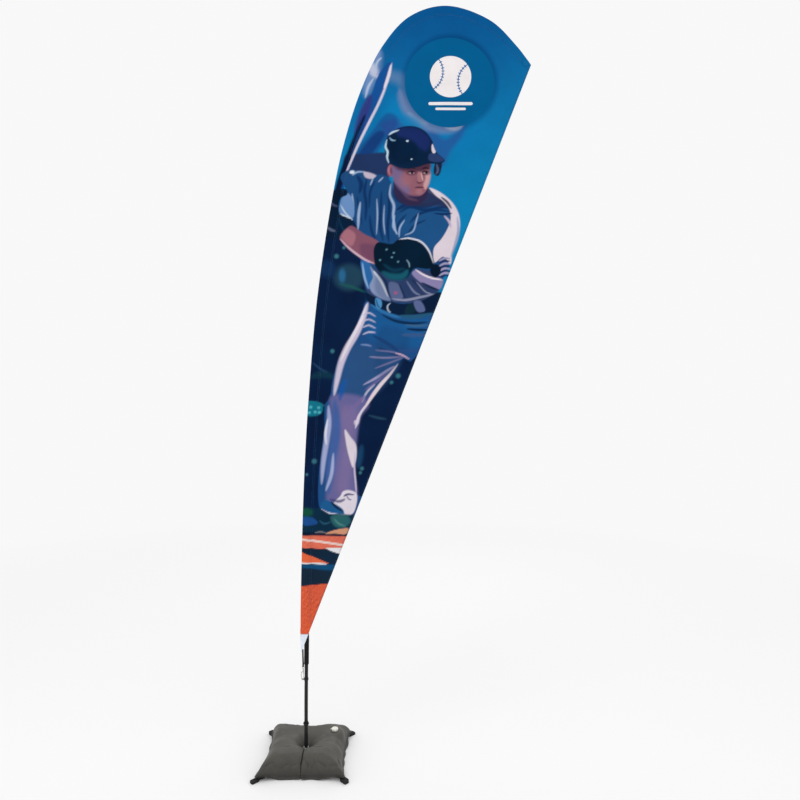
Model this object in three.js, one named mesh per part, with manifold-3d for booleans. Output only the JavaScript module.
// Teardrop sail flag on a folding cross base with a water-filled weight bag.
// Millimetres, +Z up. The origin is on the floor under the spindle; +X points along the sail.
import * as THREE from "three";
import { LoftGeometry } from "three/addons/geometries/LoftGeometry.js";
import { RoundedBoxGeometry } from "three/addons/geometries/RoundedBoxGeometry.js";
import { mergeVertices } from "three/addons/utils/BufferGeometryUtils.js";
import Module from "manifold-3d";

// Clearance between neighbouring pieces.
const GAP = 0.3;

// Cross base: two flat steel bars on the diagonals, stacked on one pivot.
const BAR_LENGTH = 770;
const BAR_WIDTH = 25;
const BAR_THICK = 6;
const LOWER_BAR_Z = 5;
const UPPER_BAR_Z = LOWER_BAR_Z + BAR_THICK + GAP;
const BOOT_LENGTH = 44;
const BOOT_WALL = 1.6;
const PAD_RADIUS = 30;

// Spindle and rotator, by height above the floor.
const SPINDLE_RADIUS = 6;
const SPINDLE_TOP = 186;
const HUB_RADIUS = 14;
const HUB_TOP = 46;
const WASHER_TOP = 52;
const BEARING_TOP = 62;
const BUSH_RADIUS = 8.2;
const ROTATOR_BORE = 8.5;
const ROTATOR_FOOT_RADIUS = 12;
const SPIGOT_RADIUS = 8.9;
const SPIGOT_TOP = 330;
const COLLAR_BOTTOM = 195.5;
const COLLAR_TOP = 213.5;
const COLLAR_RADIUS = 13.5;

// Pole: five tubes, each plugging into the one below it.
const POLE_FOOT_Z = 204;
const POLE_RADII = [11, 9.4, 7.3, 5.3, 3.3];
const POLE_WALL = 1.3;
const POLE_STEP = 0.02;
const POLE_JOINTS = [0.22, 0.42, 0.62, 0.82];
const FERRULE_LENGTH = 26;

// Sail: the fold of the sleeve is the leading edge, from the tip at the foot to the free corner.
const TIP = new THREE.Vector3(-29, 0, 639);
const CORNER = new THREE.Vector3(1369, 0, 4212);
const LEADING_EDGE = new THREE.CatmullRomCurve3(
  [
    TIP,
    new THREE.Vector3(-34, 0, 790),
    new THREE.Vector3(-31, 0, 1050),
    new THREE.Vector3(-13, 0, 1686),
    new THREE.Vector3(18, 0, 2234),
    new THREE.Vector3(66, 0, 2782),
    new THREE.Vector3(146, 0, 3329),
    new THREE.Vector3(218.5, 0, 3690),
    new THREE.Vector3(334, 0, 4060),
    new THREE.Vector3(468, 0, 4333),
    new THREE.Vector3(632, 0, 4510),
    new THREE.Vector3(852, 0, 4574),
    new THREE.Vector3(1119, 0, 4486),
    new THREE.Vector3(1278, 0, 4333),
    CORNER,
  ],
  false,
  "centripetal",
);
const SLEEVE_WIDTH = 62;
const SLEEVE_DEPTH = 30;
const SLEEVE_WALL = 1.2;
const SLEEVE_MOUTH_Z = 800;
const SEAM_GAP = 3;
const PANEL_FOOT_Z = 840;
const PANEL_THICK = 0.6;
const PANEL_PITCH = 1.0;
const HEM_WIDTH = 10;
const HEM_THICK = 4;
const TONGUE_Y = -15.2;
const TONGUE_THICK = 1.6;

// Tension strap and snap hook, left of the pole.
const STRAP_X = -18;
const STRAP_WIDTH = 9.6;
const HOOK_WIRE = 2;
const HOOK_TOP = 522;
const EYE_Z = 475;

// Weight bag: a square pillow with a centre hole and a slit to the front edge.
const BAG_HALF = 250;
const BAG_PULL = 16;
const BAG_UNDERSIDE = 19.2;
const BAG_SEAM_Z = 27;
const BAG_HEIGHT = 88;
const BAG_HOLE = 24;
const SLIT_HALF = 5;
const CAP_X = 165;
const CAP_Y = 100;
const CAP_RADIUS = 20;
const NECK_RADIUS = 15;
const NECK_FOOT = 104;
const FLAT_Z = 110.2;
const FLAT_RADIUS = 35;

const wasm = await Module();
wasm.setup();

const finishes = {
  steel: { color: 0x1b1b1c, roughness: 0.5, metalness: 0.6 },
  chrome: { color: 0xd8d8d6, roughness: 0.18, metalness: 1 },
  nickel: { color: 0xb9b7b0, roughness: 0.3, metalness: 1 },
  bronze: { color: 0x9a7444, roughness: 0.45, metalness: 0.9 },
  rubber: { color: 0x101010, roughness: 0.85, metalness: 0 },
  tube: { color: 0x0c0c0d, roughness: 0.35, metalness: 0.2 },
  plastic: { color: 0x111112, roughness: 0.5, metalness: 0 },
  webbing: { color: 0x0e0e0e, roughness: 0.9, metalness: 0 },
  print: { color: 0x155a8a, roughness: 0.8, metalness: 0 },
  liner: { color: 0x8d9094, roughness: 0.9, metalness: 0 },
  tip: { color: 0xdfe6ee, roughness: 0.85, metalness: 0 },
  vinyl: { color: 0x56534b, roughness: 0.55, metalness: 0 },
  cap: { color: 0xe4e2dc, roughness: 0.4, metalness: 0 },
};

// A named mesh with its own material.
function piece(name, geometry, finish) {
  const mesh = new THREE.Mesh(geometry, new THREE.MeshStandardMaterial(finishes[finish]));
  mesh.name = name;
  return mesh;
}

// A turned shape about +Z; the profile lists [radius, height] points.
function turned(profile, sides = 24) {
  const points = profile.map(([radius, height]) => new THREE.Vector2(radius, height));
  return new THREE.LatheGeometry(points, sides).rotateX(Math.PI / 2);
}

// A turned ring of rectangular section about +Z.
function ring(inner, outer, bottom, top, sides = 24) {
  return turned([[inner, bottom], [outer, bottom], [outer, top], [inner, top], [inner, bottom]], sides);
}

// A round rod about +Z.
function rod(radius, bottom, top, sides = 24) {
  return turned([[0, bottom], [radius, bottom], [radius, top], [0, top]], sides);
}

// The boolean solid of a closed geometry.
function solid(geometry) {
  const bare = geometry.index ? geometry.toNonIndexed() : geometry.clone();
  bare.deleteAttribute("normal");
  bare.deleteAttribute("uv");
  const merged = mergeVertices(bare, 1e-3);
  return new wasm.Manifold(
    new wasm.Mesh({
      numProp: 3,
      vertProperties: merged.attributes.position.array,
      triVerts: new Uint32Array(merged.index.array),
    }),
  );
}

// The geometry of a boolean solid.
function geometryOf(result) {
  const mesh = result.getMesh();
  const geometry = new THREE.BufferGeometry();
  geometry.setAttribute("position", new THREE.BufferAttribute(mesh.vertProperties, 3));
  geometry.setIndex(new THREE.BufferAttribute(mesh.triVerts, 1));
  return geometry;
}

// Unit normal of a path in the XZ plane, on the sail's side of it.
function inward(tangent) {
  return new THREE.Vector3(tangent.z, 0, -tangent.x);
}

// A curve beside the leading edge; inset gives its distance from the fold at each height.
function besideEdge(inset, startZ, count, lead = []) {
  const points = [...lead];
  for (let i = 0; i <= count; i++) {
    const u = i / count;
    const point = LEADING_EDGE.getPointAt(u);
    if (u < 0.5 && point.z < startZ) continue;
    points.push(point.addScaledVector(inward(LEADING_EDGE.getTangentAt(u)), inset(point.z)));
  }
  return new THREE.CatmullRomCurve3(points, false, "centripetal");
}

// The pole leaves the fold towards the foot of the sail, where the sleeve is loose on it.
function poleInset(z) {
  return 18 + 21.5 / (1 + Math.exp((z - 1500) / 220));
}

const poleStart = [
  new THREE.Vector3(0, 0, POLE_FOOT_Z),
  new THREE.Vector3(0, 0, 340),
  new THREE.Vector3(1, 0, 480),
  new THREE.Vector3(3, 0, 660),
];
const POLE_TO_CORNER = 26;
const edgePath = besideEdge(poleInset, 900, 60, poleStart);
const POLE_PATH = stretch(edgePath, 0, 1 - POLE_TO_CORNER / edgePath.getLength(), 100);
const POLE_LENGTH = POLE_PATH.getLength();

// The stretch of a curve between two fractions of its length.
function stretch(curve, from, to, count) {
  const points = [];
  for (let i = 0; i <= count; i++) {
    points.push(curve.getPointAt(from + ((to - from) * i) / count));
  }
  return new THREE.CatmullRomCurve3(points, false, "centripetal");
}

// A round tube, or a rod where inner is 0, along a curve.
function tubeAlong(curve, outer, inner, steps, sides = 12) {
  const shape = new THREE.Shape().absarc(0, 0, outer, 0, 2 * Math.PI);
  if (inner > 0) {
    shape.holes.push(new THREE.Path().absarc(0, 0, inner, 0, 2 * Math.PI, true));
  }
  return new THREE.ExtrudeGeometry(shape, {
    steps,
    curveSegments: sides / 2,
    bevelEnabled: false,
    extrudePath: curve,
  });
}

// Stands an object at a fraction of the pole's length, its +Z along the pole's last step to there.
function placeOnPole(object, u) {
  const end = POLE_PATH.getPointAt(u);
  const along = end.clone().sub(POLE_PATH.getPointAt(u - POLE_STEP)).normalize();
  object.position.copy(end);
  object.quaternion.setFromUnitVectors(new THREE.Vector3(0, 0, 1), along);
  return object;
}

// Flat steel bar with a pivot hole, drawn along +X.
function crossBar(name, bottom) {
  const length = BAR_LENGTH - 2 * (BOOT_WALL + GAP);
  const blank = new THREE.BoxGeometry(length, BAR_WIDTH, BAR_THICK);
  blank.translate(0, 0, bottom + BAR_THICK / 2);
  const hole = solid(rod(SPINDLE_RADIUS + GAP, 0, bottom + 2 * BAR_THICK));
  return piece(name, geometryOf(solid(blank).subtract(hole)), "steel");
}

// Rubber boot over a bar end: a rounded block from the floor up with the bar's slot cut in it.
function boot(name, barZ, sign) {
  const top = barZ + BAR_THICK + BOOT_WALL;
  const width = BAR_WIDTH + 2 * BOOT_WALL + 2;
  const centre = BAR_LENGTH / 2 - BOOT_LENGTH / 2;
  const shape = new THREE.Shape();
  const round = 5;
  shape.moveTo(centre - BOOT_LENGTH / 2, -width / 2);
  shape.lineTo(centre + BOOT_LENGTH / 2 - round, -width / 2);
  shape.absarc(centre + BOOT_LENGTH / 2 - round, -width / 2 + round, round, -Math.PI / 2, 0);
  shape.absarc(centre + BOOT_LENGTH / 2 - round, width / 2 - round, round, 0, Math.PI / 2);
  shape.lineTo(centre - BOOT_LENGTH / 2, width / 2);
  shape.closePath();
  const block = new THREE.ExtrudeGeometry(shape, { depth: top, bevelEnabled: false, curveSegments: 4 });
  const slot = new THREE.BoxGeometry(BOOT_LENGTH, BAR_WIDTH + 2 * GAP, BAR_THICK + 2 * GAP);
  slot.translate(centre - BOOT_WALL, 0, barZ + BAR_THICK / 2);
  const cut = geometryOf(solid(block).subtract(solid(slot)));
  return piece(name, sign > 0 ? cut : cut.rotateZ(Math.PI), "rubber");
}

function base() {
  const group = new THREE.Group();
  const lower = new THREE.Group();
  lower.rotation.z = Math.PI / 4;
  lower.add(crossBar("lower_bar", LOWER_BAR_Z));
  lower.add(boot("boot_back_right", LOWER_BAR_Z, 1));
  lower.add(boot("boot_front_left", LOWER_BAR_Z, -1));
  const upper = new THREE.Group();
  upper.rotation.z = -Math.PI / 4;
  upper.add(crossBar("upper_bar", UPPER_BAR_Z));
  upper.add(boot("boot_front_right", UPPER_BAR_Z, 1));
  upper.add(boot("boot_back_left", UPPER_BAR_Z, -1));
  group.add(lower, upper, centrePad(), pivotNut());
  return group;
}

// Rubber pad under the pivot, with a pocket for the nut.
function centrePad() {
  const pocket = 11;
  const floor = 1.2;
  const top = LOWER_BAR_Z - GAP;
  const profile = [
    [0, 0],
    [PAD_RADIUS, 0],
    [PAD_RADIUS, top],
    [pocket, top],
    [pocket, floor],
    [0, floor],
  ];
  return piece("centre_pad", turned(profile), "rubber");
}

// Thin hexagonal nut on the spindle's lower end.
function pivotNut() {
  const blank = solid(rod(10.4, 1.6, LOWER_BAR_Z - GAP, 6));
  const bore = solid(rod(SPINDLE_RADIUS + GAP, 0, LOWER_BAR_Z));
  return piece("pivot_nut", geometryOf(blank.subtract(bore)), "nickel");
}

// The fixed steel pin that the bars pivot on and the rotator turns on, with its retaining groove.
function spindle() {
  const groove = SPINDLE_TOP - 5;
  const profile = [
    [0, 1.6],
    [SPINDLE_RADIUS, 1.6],
    [SPINDLE_RADIUS, groove],
    [SPINDLE_RADIUS - 1, groove],
    [SPINDLE_RADIUS - 1, groove + 1.6],
    [SPINDLE_RADIUS, groove + 1.6],
    [SPINDLE_RADIUS, SPINDLE_TOP - 1],
    [SPINDLE_RADIUS - 1, SPINDLE_TOP],
    [0, SPINDLE_TOP],
  ];
  return piece("spindle", turned(profile, 20), "nickel");
}

function hub() {
  const group = new THREE.Group();
  const bore = SPINDLE_RADIUS + GAP;
  const foot = UPPER_BAR_Z + BAR_THICK + GAP;
  const boss = [
    [bore, foot],
    [HUB_RADIUS + 5, foot],
    [HUB_RADIUS + 5, foot + 4],
    [HUB_RADIUS, foot + 6],
    [HUB_RADIUS, HUB_TOP],
    [bore, HUB_TOP],
    [bore, foot],
  ];
  group.add(piece("hub_boss", turned(boss), "steel"));
  group.add(piece("thrust_washer", ring(bore, 18, HUB_TOP + GAP, WASHER_TOP), "rubber"));
  group.add(piece("lower_bush", ring(bore, BUSH_RADIUS, 64, 84, 20), "bronze"));
  group.add(piece("upper_bush", ring(bore, BUSH_RADIUS, 158, 178, 20), "bronze"));
  group.add(piece("retaining_ring", ring(5.2, 7.6, SPINDLE_TOP - 4.8, SPINDLE_TOP - 3.6, 20), "nickel"));
  const race = [
    [bore, WASHER_TOP + GAP],
    [15, WASHER_TOP + GAP],
    [16.5, WASHER_TOP + 2],
    [16.5, BEARING_TOP - 2],
    [15, BEARING_TOP],
    [bore, BEARING_TOP],
    [bore, WASHER_TOP + GAP],
  ];
  group.add(piece("bearing_ring", turned(race), "chrome"));
  return group;
}

// Tapered rotator tube: bored from below for the spindle, solid spigot on top for the pole.
function rotator() {
  const group = new THREE.Group();
  const foot = BEARING_TOP + GAP;
  const neck = COLLAR_BOTTOM - GAP;
  const shoulder = POLE_FOOT_Z - GAP;
  const seat = 290;
  const profile = [
    [ROTATOR_BORE, foot],
    [ROTATOR_FOOT_RADIUS, foot],
    [10.4, neck],
    [10.4, shoulder],
    [SPIGOT_RADIUS, shoulder],
    [SPIGOT_RADIUS, seat],
    [SPIGOT_RADIUS - 1.9, seat],
    [SPIGOT_RADIUS - 1.9, seat + 3],
    [SPIGOT_RADIUS, seat + 3],
    [SPIGOT_RADIUS, SPIGOT_TOP - 4],
    [SPIGOT_RADIUS - 2, SPIGOT_TOP],
    [0, SPIGOT_TOP],
    [0, SPINDLE_TOP + 3],
    [ROTATOR_BORE, SPINDLE_TOP + 3],
    [ROTATOR_BORE, foot],
  ];
  group.add(piece("rotator_tube", turned(profile), "tube"));
  const section = new THREE.Shape().absarc(0, 0, 0.85, 0, 2 * Math.PI);
  const loop = section.getPoints(4).map((p) => [SPIGOT_RADIUS - 0.7 + p.x, seat + 1.5 + p.y]);
  loop[loop.length - 1] = loop[0];
  group.add(piece("spigot_o_ring", turned(loop, 20), "rubber"));
  return group;
}

// Collar round the joint of rotator and pole, with a lobe on each side and a front thumb screw.
function collar() {
  const group = new THREE.Group();
  const body = solid(ring(POLE_RADII[0] + GAP, COLLAR_RADIUS + 1, COLLAR_BOTTOM, COLLAR_TOP));
  const lobes = [-1, 1].map((side) => {
    const lobe = new THREE.CylinderGeometry(5, 6, 6, 12).rotateZ(-side * (Math.PI / 2));
    lobe.translate(side * (COLLAR_RADIUS + 0.6), 0, (COLLAR_BOTTOM + COLLAR_TOP) / 2);
    return solid(lobe);
  });
  const bore = solid(rod(POLE_RADII[0] + GAP, COLLAR_BOTTOM - 1, COLLAR_TOP + 1));
  const tapped = new THREE.CylinderGeometry(2.6, 2.6, 8, 12);
  tapped.translate(0, -COLLAR_RADIUS, (COLLAR_BOTTOM + COLLAR_TOP) / 2);
  const joined = lobes.reduce((sum, lobe) => sum.add(lobe), body);
  const drilled = joined.subtract(bore).subtract(solid(tapped));
  group.add(piece("pole_collar", geometryOf(drilled), "plastic"));
  const shank = solid(new THREE.CylinderGeometry(2.2, 2.2, 8, 12).translate(0, 3.5, 0));
  const knob = solid(new THREE.CylinderGeometry(6, 5, 6, 12).translate(0, -3, 0));
  const screw = piece("thumb_screw", geometryOf(shank.add(knob)), "plastic");
  screw.position.set(0, -(COLLAR_RADIUS + 1 + 4), (COLLAR_BOTTOM + COLLAR_TOP) / 2);
  group.add(screw);
  return group;
}

// Each tube starts one step below the end of the tube before it, inside it.
function pole() {
  const group = new THREE.Group();
  const starts = [0, ...POLE_JOINTS.map((joint) => joint - POLE_STEP)];
  const ends = [...POLE_JOINTS, 1];
  POLE_RADII.forEach((radius, i) => {
    const inner = i < POLE_RADII.length - 1 ? radius - POLE_WALL : 0;
    const steps = Math.round((ends[i] - starts[i]) / POLE_STEP);
    const curve = stretch(POLE_PATH, starts[i], ends[i], 2 * steps);
    group.add(piece("pole_section_" + (i + 1), tubeAlong(curve, radius, inner, steps), "tube"));
  });
  POLE_JOINTS.forEach((joint, i) => {
    const band = ring(POLE_RADII[i] + 0.8, POLE_RADII[i] + 1.9, -FERRULE_LENGTH, 0, 16);
    group.add(placeOnPole(piece("ferrule_" + (i + 1), band, "nickel"), joint));
  });
  return group;
}

// Cap on the pole's thin end, in the sewn pocket at the sail's corner.
function poleEnd() {
  const group = new THREE.Group();
  const reach = 14;
  const cap = [
    [POLE_RADII[4] + GAP, -reach],
    [5, -reach],
    [5, 2],
    [3.5, 5],
    [0, 6],
    [0, GAP],
    [POLE_RADII[4] + GAP, GAP],
    [POLE_RADII[4] + GAP, -reach],
  ];
  group.add(piece("pole_tip_cap", turned(cap, 16), "plastic"));
  const pocket = [
    [5.4, -reach + 2],
    [7.4, -reach + 2],
    [7.4, 7],
    [5, 9.5],
    [0, 9.5],
    [0, 6.6],
    [4, 6.6],
    [5.4, 4],
    [5.4, -reach + 2],
  ];
  group.add(piece("corner_pocket", turned(pocket, 16), "webbing"));
  return placeOnPole(group, 1);
}

// Clamp ring on the pole with a wire eye for the hook, and its grub screw at the back.
function poleClamp() {
  const group = new THREE.Group();
  const eyeRadius = 6.6;
  const pole = POLE_PATH.getPointAt((EYE_Z - POLE_FOOT_Z) / POLE_LENGTH);
  const band = solid(ring(POLE_RADII[0] + GAP, 13.4, EYE_Z - 7, EYE_Z + 7).translate(pole.x, 0, 0));
  const eye = solid(new THREE.TorusGeometry(eyeRadius, 1.5, 8, 18).translate(-15.4, 0, EYE_Z));
  const bore = solid(rod(POLE_RADII[0] + GAP, EYE_Z - 9, EYE_Z + 9).translate(pole.x, 0, 0));
  const tapped = new THREE.CylinderGeometry(2.3, 2.3, 8, 12).translate(pole.x, 12, EYE_Z);
  const body = band.add(eye).subtract(bore).subtract(solid(tapped));
  group.add(piece("pole_clamp", geometryOf(body), "steel"));
  const screw = new THREE.CylinderGeometry(2, 2, 2.6, 12).translate(pole.x, 13, EYE_Z);
  group.add(piece("clamp_screw", screw, "nickel"));
  return group;
}

// Snap hook: strap eye, swivel barrel, bent wire body and a sprung gate on its pin.
function snapHook() {
  const group = new THREE.Group();
  const gateX = -15.8;
  const gateTop = 508;
  const nose = 481;
  const body = new THREE.CatmullRomCurve3(
    [
      new THREE.Vector3(gateX, 0, gateTop + 4),
      new THREE.Vector3(-16.6, 0, 517),
      new THREE.Vector3(-20.5, 0, 518.5),
      new THREE.Vector3(-28, 0, 515),
      new THREE.Vector3(-30, 0, 508),
      new THREE.Vector3(-28.6, 0, 492),
      new THREE.Vector3(-27, 0, 477),
      new THREE.Vector3(-24, 0, 470),
      new THREE.Vector3(-19, 0, 468.6),
      new THREE.Vector3(-16.2, 0, 472),
      new THREE.Vector3(gateX, 0, nose - 0.6),
    ],
    false,
    "centripetal",
  );
  const wire = solid(tubeAlong(body, HOOK_WIRE, 0, 26, 8));
  const barrel = solid(rod(3.4, HOOK_TOP - 5, 536, 12).translate(STRAP_X, 0, 0));
  const lug = solid(new THREE.BoxGeometry(3.4, 7, 8).translate(gateX, 0, gateTop + 1));
  const slot = solid(new THREE.BoxGeometry(6, 3.8, 8.8).translate(gateX, 0, gateTop - 2.1));
  const pinHole = new THREE.CylinderGeometry(1, 1, 12, 10).translate(gateX, 0, gateTop);
  const hook = wire.add(barrel).add(lug).subtract(slot).subtract(solid(pinHole));
  group.add(piece("snap_hook", geometryOf(hook), "nickel"));
  const rodLength = gateTop - nose + 1.2;
  const gateRod = new THREE.CylinderGeometry(1.5, 1.5, rodLength, 10).rotateX(Math.PI / 2);
  gateRod.translate(gateX, 0, nose + 0.2 + rodLength / 2);
  const gate = solid(gateRod).subtract(solid(pinHole));
  group.add(piece("hook_gate", geometryOf(gate), "nickel"));
  const pin = new THREE.CylinderGeometry(0.7, 0.7, 7, 10).translate(gateX, 0, gateTop);
  group.add(piece("gate_pin", pin, "steel"));
  group.add(swivelEye());
  return group;
}

// Rectangular loop that takes the strap, on a stem that turns in the hook's barrel.
function swivelEye() {
  const outline = new THREE.Shape();
  outline.moveTo(-5.5, 0);
  outline.lineTo(5.5, 0);
  outline.lineTo(7.4, 15);
  outline.lineTo(-7.4, 15);
  outline.closePath();
  const window = new THREE.Path();
  window.moveTo(-3.4, 3);
  window.lineTo(-5.4, 12);
  window.lineTo(5.4, 12);
  window.lineTo(3.4, 3);
  window.closePath();
  outline.holes.push(window);
  const loop = new THREE.ExtrudeGeometry(outline, { depth: 3, bevelEnabled: false });
  loop.translate(0, 0, -1.5).rotateX(Math.PI / 2).translate(STRAP_X, 0, 536 + 2);
  const stem = rod(2.4, 536 + GAP, 540, 12).translate(STRAP_X, 0, 0);
  return piece("swivel_eye", geometryOf(solid(loop).add(solid(stem))), "nickel");
}

// Webbing strap: sewn to the tongue at the top, looped round the swivel eye's bar at the foot.
function tensionStrap() {
  const top = new THREE.Vector3(0, TONGUE_Y + TONGUE_THICK / 2, TIP.z - 1);
  const foot = new THREE.Vector3(0, 0, 553.8);
  const half = 1.1;
  const side = [
    [foot.y - half, foot.z + 4.5],
    [foot.y - 3, foot.z],
    [foot.y - 2.2, foot.z - 4.6],
    [foot.y + 2.2, foot.z - 4.6],
    [foot.y + 3, foot.z],
    [foot.y + half, foot.z + 4.5],
    [top.y + half, top.z],
    [top.y - half, top.z],
  ];
  const shape = new THREE.Shape(side.map(([y, z]) => new THREE.Vector2(y, z)));
  const strap = new THREE.ExtrudeGeometry(shape, { depth: STRAP_WIDTH, bevelEnabled: false });
  strap.applyMatrix4(new THREE.Matrix4().makeBasis(
    new THREE.Vector3(0, 1, 0),
    new THREE.Vector3(0, 0, 1),
    new THREE.Vector3(1, 0, 0),
  ));
  strap.translate(STRAP_X - STRAP_WIDTH / 2, 0, 0);
  const bar = solid(new THREE.BoxGeometry(24, 3.6, 3.6).translate(STRAP_X, 0, 551.5));
  return piece("tension_strap", geometryOf(solid(strap).subtract(bar)), "webbing");
}

// The trailing edge runs straight from the tip to the corner; along is up it, across is into the sail.
const TRAILING = CORNER.clone().sub(TIP).normalize();
const TRAILING_INWARD = new THREE.Vector3(-TRAILING.z, 0, TRAILING.x);

function fromCorner(across, down) {
  return CORNER.clone().addScaledVector(TRAILING_INWARD, across).addScaledVector(TRAILING, -down);
}

// The point on the trailing edge, moved into the sail, at a height.
function onTrailing(across, z) {
  const start = CORNER.clone().addScaledVector(TRAILING_INWARD, across);
  return start.addScaledVector(TRAILING, (z - start.z) / TRAILING.z);
}

// A flat sheet in the XZ plane between y and y + thick.
function sheet(points, y, thick) {
  const shape = new THREE.Shape(points.map((p) => new THREE.Vector2(p.x, p.z)));
  const geometry = new THREE.ExtrudeGeometry(shape, { depth: thick, bevelEnabled: false });
  return geometry.rotateX(Math.PI / 2).translate(0, y + thick, 0);
}

// Sleeve: a flattened tube of cloth that hugs the pole, swept just inside the leading edge.
function sleeve() {
  const path = besideEdge(() => SLEEVE_WIDTH / 2, SLEEVE_MOUTH_Z, 150);
  const foot = path.points[0];
  foot.z = SLEEVE_MOUTH_Z;
  const section = new THREE.Shape();
  section.absellipse(0, 0, SLEEVE_DEPTH / 2, SLEEVE_WIDTH / 2, 0, 2 * Math.PI);
  const inside = new THREE.Path();
  const wall = SLEEVE_WALL;
  inside.absellipse(0, 0, SLEEVE_DEPTH / 2 - wall, SLEEVE_WIDTH / 2 - wall, 0, 2 * Math.PI, true);
  section.holes.push(inside);
  const geometry = new THREE.ExtrudeGeometry(section, {
    steps: 46,
    curveSegments: 7,
    bevelEnabled: false,
    extrudePath: path,
  });
  return piece("flag_sleeve", geometry, "print");
}

function sail() {
  const group = new THREE.Group();
  group.add(sleeve());
  const seam = besideEdge(() => SLEEVE_WIDTH + SEAM_GAP, PANEL_FOOT_Z, 80).points;
  const stop = 18;
  const panel = [...seam, fromCorner(HEM_WIDTH + GAP, stop + 0.6), onTrailing(HEM_WIDTH + GAP, PANEL_FOOT_Z)];
  const last = seam[seam.length - 1];
  last.addScaledVector(LEADING_EDGE.getTangentAt(1), 1);
  ["front_panel", "liner_panel", "back_panel"].forEach((name, i) => {
    const y = (i - 1) * PANEL_PITCH - PANEL_THICK / 2;
    group.add(piece(name, sheet(panel, y, PANEL_THICK), i === 1 ? "liner" : "print"));
  });
  const hem = [
    fromCorner(0, stop),
    onTrailing(0, SLEEVE_MOUTH_Z + 10),
    onTrailing(HEM_WIDTH, SLEEVE_MOUTH_Z + 10),
    fromCorner(HEM_WIDTH, stop),
  ];
  group.add(piece("trailing_hem", sheet(hem, -HEM_THICK / 2, HEM_THICK), "print"));
  const tongue = [
    TIP,
    onTrailing(0, SLEEVE_MOUTH_Z - 1),
    new THREE.Vector3(-34, 0, SLEEVE_MOUTH_Z - 1),
    new THREE.Vector3(-33.5, 0, 740),
  ];
  group.add(piece("tip_tongue", sheet(tongue, TONGUE_Y, TONGUE_THICK), "tip"));
  return group;
}

// Half-width of the bag's square outline along a side: the sides pull in between the corners.
function outlinePoint(side, s) {
  const reach = BAG_HALF - BAG_PULL * (1 - s * s);
  const point = new THREE.Vector3(s * BAG_HALF, -reach, 0);
  return point.applyAxisAngle(new THREE.Vector3(0, 0, 1), (side * Math.PI) / 2);
}

// One radial section of the bag, from the hole to the outline and back along the underside.
function bagSection(inner, outer) {
  const rise = (share) => BAG_SEAM_Z + BAG_HEIGHT * share;
  const profile = [
    [0, BAG_UNDERSIDE],
    [1 - 8 / outer.distanceTo(inner), BAG_UNDERSIDE],
    [1, BAG_SEAM_Z],
    [0.975, rise(0.28)],
    [0.93, rise(0.56)],
    [0.85, rise(0.8)],
    [0.7, rise(0.96)],
    [0.5, rise(1)],
    [0.3, rise(0.92)],
    [0.14, rise(0.7)],
    [0.04, rise(0.44)],
    [0, rise(0.24)],
  ];
  return profile.map(([share, z]) => inner.clone().lerp(outer, share).setZ(z));
}

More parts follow.
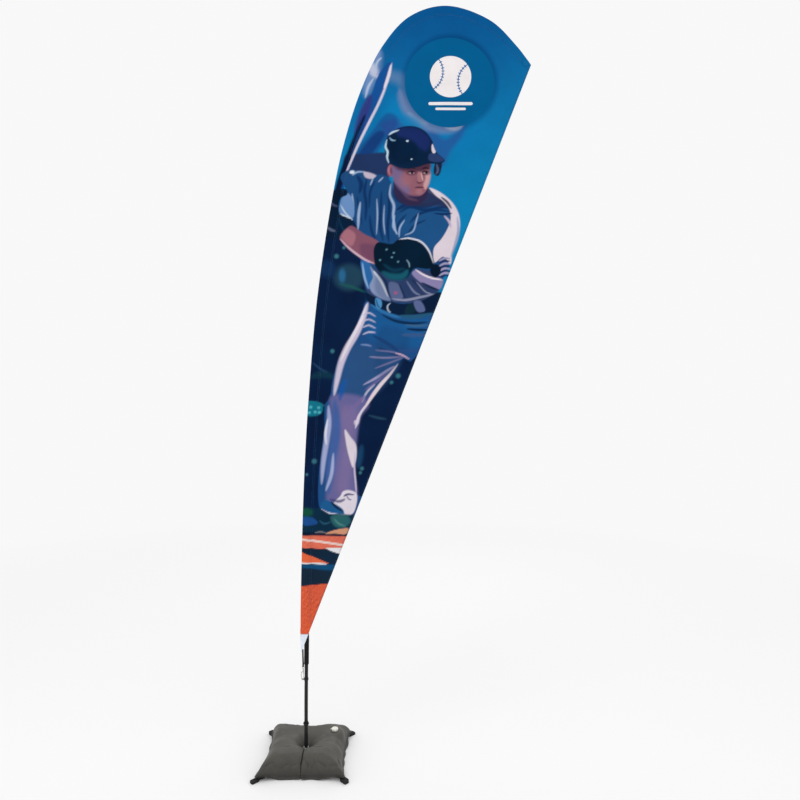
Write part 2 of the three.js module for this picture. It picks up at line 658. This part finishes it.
function weightBag() {
  const outline = [];
  const across = [-0.98, -0.85, -0.6, -0.3, 0, 0.3, 0.6, 0.85, 0.98];
  const half = across.filter((s) => s > 0);
  half.forEach((s) => outline.push(outlinePoint(0, s)));
  [1, 2, 3].forEach((side) => across.forEach((s) => outline.push(outlinePoint(side, s))));
  half.map((s) => -s).reverse().forEach((s) => outline.push(outlinePoint(0, s)));
  const slitInner = -Math.sqrt(BAG_HOLE ** 2 - SLIT_HALF ** 2);
  const slitOuter = BAG_PULL - BAG_HALF;
  const slit = (x) => bagSection(new THREE.Vector3(x, slitInner, 0), new THREE.Vector3(x, slitOuter, 0));
  const sections = outline.map((p) => bagSection(p.clone().setLength(BAG_HOLE), p));
  const loft = [slit(SLIT_HALF), ...sections, slit(-SLIT_HALF)].reverse();
  const shell = new LoftGeometry(loft, { capStart: true, capEnd: true });
  const seat = solid(rod(NECK_RADIUS + 3, NECK_FOOT - GAP, 160).translate(CAP_X, CAP_Y, 0));
  const flat = solid(rod(FLAT_RADIUS, FLAT_Z, 160).translate(CAP_X, CAP_Y, 0));
  return piece("water_bag", geometryOf(solid(shell).subtract(seat).subtract(flat)), "vinyl");
}

// Filler: threaded neck welded to the bag, screw cap over it, and the cap's tether tab.
function filler() {
  const group = new THREE.Group();
  group.position.set(CAP_X, CAP_Y, 0);
  const neckTop = NECK_FOOT + 17;
  const neck = [
    [9, NECK_FOOT],
    [NECK_RADIUS + 2.5, NECK_FOOT],
    [NECK_RADIUS + 2.5, NECK_FOOT + 2],
    [NECK_RADIUS, NECK_FOOT + 3],
    [NECK_RADIUS, neckTop],
    [9, neckTop],
    [9, NECK_FOOT],
  ];
  group.add(piece("filler_neck", turned(neck), "cap"));
  const capFoot = neckTop - 7;
  const cap = [
    [NECK_RADIUS + GAP, capFoot],
    [CAP_RADIUS, capFoot],
    [CAP_RADIUS, capFoot + 9],
    [CAP_RADIUS - 2, capFoot + 11],
    [0, capFoot + 11],
    [0, neckTop + GAP],
    [NECK_RADIUS + GAP, neckTop + GAP],
    [NECK_RADIUS + GAP, capFoot],
  ];
  group.add(piece("filler_cap", turned(cap), "cap"));
  const tab = new RoundedBoxGeometry(16, 9, 1.8, 1, 0.8).translate(-20, 14, capFoot - 2.2);
  const band = ring(NECK_RADIUS + GAP, NECK_RADIUS + 3, capFoot - 3, capFoot - 1.3);
  const bridge = new THREE.BoxGeometry(12, 5, 1.6).rotateZ(-0.61).translate(-13.6, 9.6, capFoot - 2.2);
  const hole = solid(rod(NECK_RADIUS + GAP, capFoot - 6, capFoot));
  const tether = solid(band).add(solid(bridge)).add(solid(tab)).subtract(hole);
  group.add(piece("cap_tether", geometryOf(tether), "cap"));
  return group;
}

const flag = new THREE.Group();
flag.add(base(), spindle(), hub(), rotator(), collar());
flag.add(pole(), poleEnd(), poleClamp(), snapHook(), tensionStrap());
flag.add(sail(), weightBag(), filler());

export default flag;
